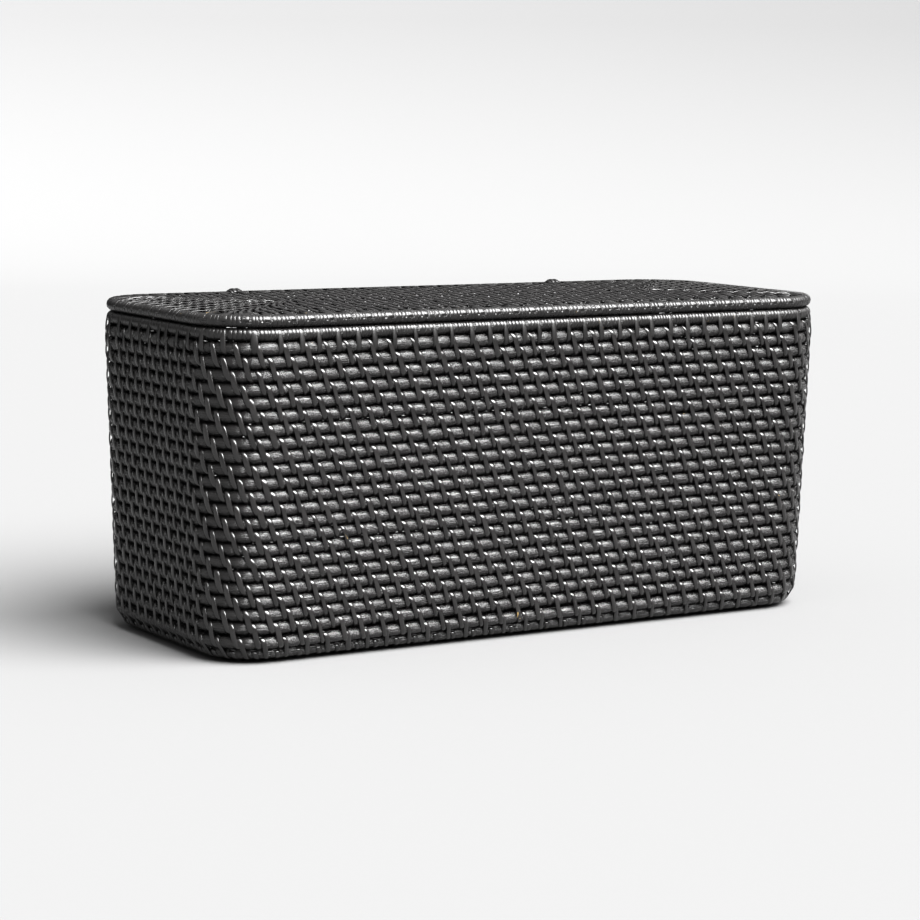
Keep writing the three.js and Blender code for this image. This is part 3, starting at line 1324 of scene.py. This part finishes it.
@dataclass(frozen=True)
class Studio:
    """A pale sweep all round, one wide lamp, a sky, a dark card and the camera."""

    azimuth: float = -32.09  # of the camera, from the front, in degrees
    elevation: float = 7.47
    roll: float = 0.71
    distance: float = 1.7813
    focal_length: float = 108.73
    across: float = -4.65 * MM  # how far the camera is moved sideways, and up, without turning
    up: float = 0.88 * MM
    target_height: float = 98.75 * MM  # of the point that the camera is set out from
    floor_radius: float = 3.0
    bend_radius: float = 3.2
    bend: float = math.radians(52)
    floor_colour: float = 0.227
    wall_colour_with_painted_shade: float = 0.194  # painted shade: darker where the sweep has risen and faces the key light, to cancel the extra light there
    wall_height: float = 0.5
    card_middle: tuple[float, float, float] = (-0.2, 1.45, 0.37)
    card_half_width: float = 1.6
    card_half_height: float = 0.35
    card_colour: float = 0.02
    key_from: tuple[float, float, float] = (0.20, -0.58, 0.79)
    key_strength: float = 12.6
    key_spread: float = math.radians(58)
    sky: float = 0.66  # radiance of the sky away from the key light
    glow: float = 0.7  # what it gains round the key light
    glow_edge: float = 0.35  # cosine of the angle from the key light where the glow starts
    gamma: float = 0.70

    def build(self) -> None:
        """Adds sweep, lights and camera."""
        bpy.context.scene.view_settings.view_transform = "Standard"
        bpy.context.scene.view_settings.gamma = self.gamma
        self.add_sweep()
        self.add_card()
        self.add_camera()
        self.add_key()
        self.add_sky()

    def add_key(self) -> None:
        """The main lamp: wide, far away, high in front and a little to the right."""
        lamp = bpy.data.lights.new("key", "SUN")
        lamp.energy = self.key_strength
        lamp.angle = self.key_spread
        item = bpy.data.objects.new("key", lamp)
        item.rotation_euler = Vector(self.key_from).to_track_quat("Z", "Y").to_euler()
        bpy.context.scene.collection.objects.link(item)

    def add_sky(self) -> None:
        """A plain sky that is brighter round the main lamp, like the inside of a large diffuser."""
        world = bpy.data.worlds.new("studio")
        bpy.context.scene.world = world
        world.use_nodes = True
        graph = Graph(world.node_tree)
        way = graph.vector("NORMALIZE", graph.add("ShaderNodeTexCoord").outputs["Generated"])
        key = Vector(self.key_from).normalized()
        dot = graph.add("ShaderNodeVectorMath", {0: way, 1: tuple(key)}, operation="DOT_PRODUCT")
        near = dot.outputs["Value"]
        bright = graph.spread(near, self.glow_edge, 1.0, self.sky, self.sky + self.glow)
        graph.feed(world.node_tree.nodes["Background"].inputs[1], bright)
        world.node_tree.nodes["Background"].inputs[0].default_value = (1.0, 1.0, 1.0, 1.0)

    def add_sweep(self) -> None:
        """A large pale floor that bends up into a wall all round, with painted shade that darkens the rising
        wall against the key light.
        """
        flat_rings, steps, sides = 6, 16, 96
        rings = range(1, flat_rings + 1)
        profile = [(self.floor_radius * index / flat_rings, 0.0) for index in rings]
        for index in range(1, steps + 1):
            turn, bend = self.bend * index / steps, self.bend_radius
            profile.append((self.floor_radius + bend * math.sin(turn), bend * (1 - math.cos(turn))))
        verts = [(0.0, 0.0, 0.0)]
        for radius, height in profile:
            turns = [2 * math.pi * index / sides for index in range(sides)]
            verts += [(radius * math.cos(turn), radius * math.sin(turn), height) for turn in turns]
        faces = [(0, 1 + index, 1 + (index + 1) % sides) for index in range(sides)]
        faces += ring_faces(len(profile), sides, first=1)
        mesh = bpy.data.meshes.new("sweep")
        mesh.from_pydata(verts, [], faces)
        mesh.shade_smooth()
        material, shader = matt_material("pale_sweep")
        graph = Graph(material.node_tree)
        height = graph.split(graph.add("ShaderNodeTexCoord").outputs["Object"])[2]
        # Painted shade: the grey darkens with height to cancel the extra key light on the rising wall.
        grey_with_painted_shade = graph.spread(height, 0.0, self.wall_height, self.floor_colour, self.wall_colour_with_painted_shade)
        graph.feed(shader.inputs["Base Color"], graph.combine(grey_with_painted_shade, grey_with_painted_shade, grey_with_painted_shade))
        shader.inputs["Specular IOR Level"].default_value = 0.0
        mesh.materials.append(material)
        add_object("sweep", mesh)

    def add_card(self) -> None:
        """A dark card behind the basket that only reflections see, so that lid and sides stay dark."""
        middle = Vector(self.card_middle)
        corners = [(-1, -1), (1, -1), (1, 1), (-1, 1)]
        width, height = self.card_half_width, self.card_half_height
        verts = [middle + Vector((x * width, 0.0, z * height)) for x, z in corners]
        mesh = bpy.data.meshes.new("card")
        mesh.from_pydata(verts, [], [(0, 1, 2, 3)])
        material, shader = matt_material("dark_card")
        shader.inputs["Base Color"].default_value = (*[self.card_colour] * 3, 1.0)
        mesh.materials.append(material)
        card = add_object("card", mesh)
        card.visible_camera = card.visible_shadow = card.visible_diffuse = False

    def add_camera(self) -> None:
        """The camera, from the front left and a little above."""
        azimuth, elevation = math.radians(self.azimuth), math.radians(self.elevation)
        level = math.cos(elevation)
        back = Vector((math.sin(azimuth) * level, -math.cos(azimuth) * level, math.sin(elevation)))
        right = Vector((0, 0, 1)).cross(back).normalized()
        up = back.cross(right)
        turn = math.radians(self.roll)
        rolled_right = math.cos(turn) * right + math.sin(turn) * up
        rolled_up = -math.sin(turn) * right + math.cos(turn) * up
        data = bpy.data.cameras.new("camera")
        data.lens = self.focal_length
        data.sensor_width = 36.0
        data.clip_end = 200.0
        camera = bpy.data.objects.new("camera", data)
        target = Vector((0.0, 0.0, self.target_height))
        place = target + back * self.distance + rolled_right * self.across + rolled_up * self.up
        axes = Matrix((rolled_right, rolled_up, back)).transposed().to_4x4()
        camera.matrix_world = Matrix.Translation(place) @ axes
        bpy.context.scene.collection.objects.link(camera)
        bpy.context.scene.camera = camera


def main() -> None:
    """Builds the basket and the studio, in order."""
    logging.basicConfig(level=logging.INFO, format="%(name)s: %(message)s")
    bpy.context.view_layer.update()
    shop = Workshop.open()
    Studio().build()
    shell_rim = Rim(
        shop,
        "body_rim",
        Body.BASKET,
        outside=1.0,
        joints_x=(40 * MM,),
        seed=71,
        stitch_slant=0.3,
        stitch_section=CROWNED,
    )
    lid_rim = Rim(
        shop,
        "lid_rim",
        Body.LID,
        outside=-1.0,
        joints_x=(-188 * MM, 88 * MM),
        seed=83,
        stitch_slant=0.1,
        stitch_section=FLAT,
    )
    shell_courses = ("wall_course", "foot_course", "base_course")
    Coil(shop, Body.BASKET, 1.0, shell_courses, "base_start_rod", seed=1000).build(shell_rim)
    Coil(shop, Body.LID, -1.0, ("lid_course",), "lid_start_rod", seed=3000).build(lid_rim)
    HingeLashings(shop).build(lid_rim.course(), shell_rim.course(), shell_rim.cane)


if __name__ == "__main__":
    main()
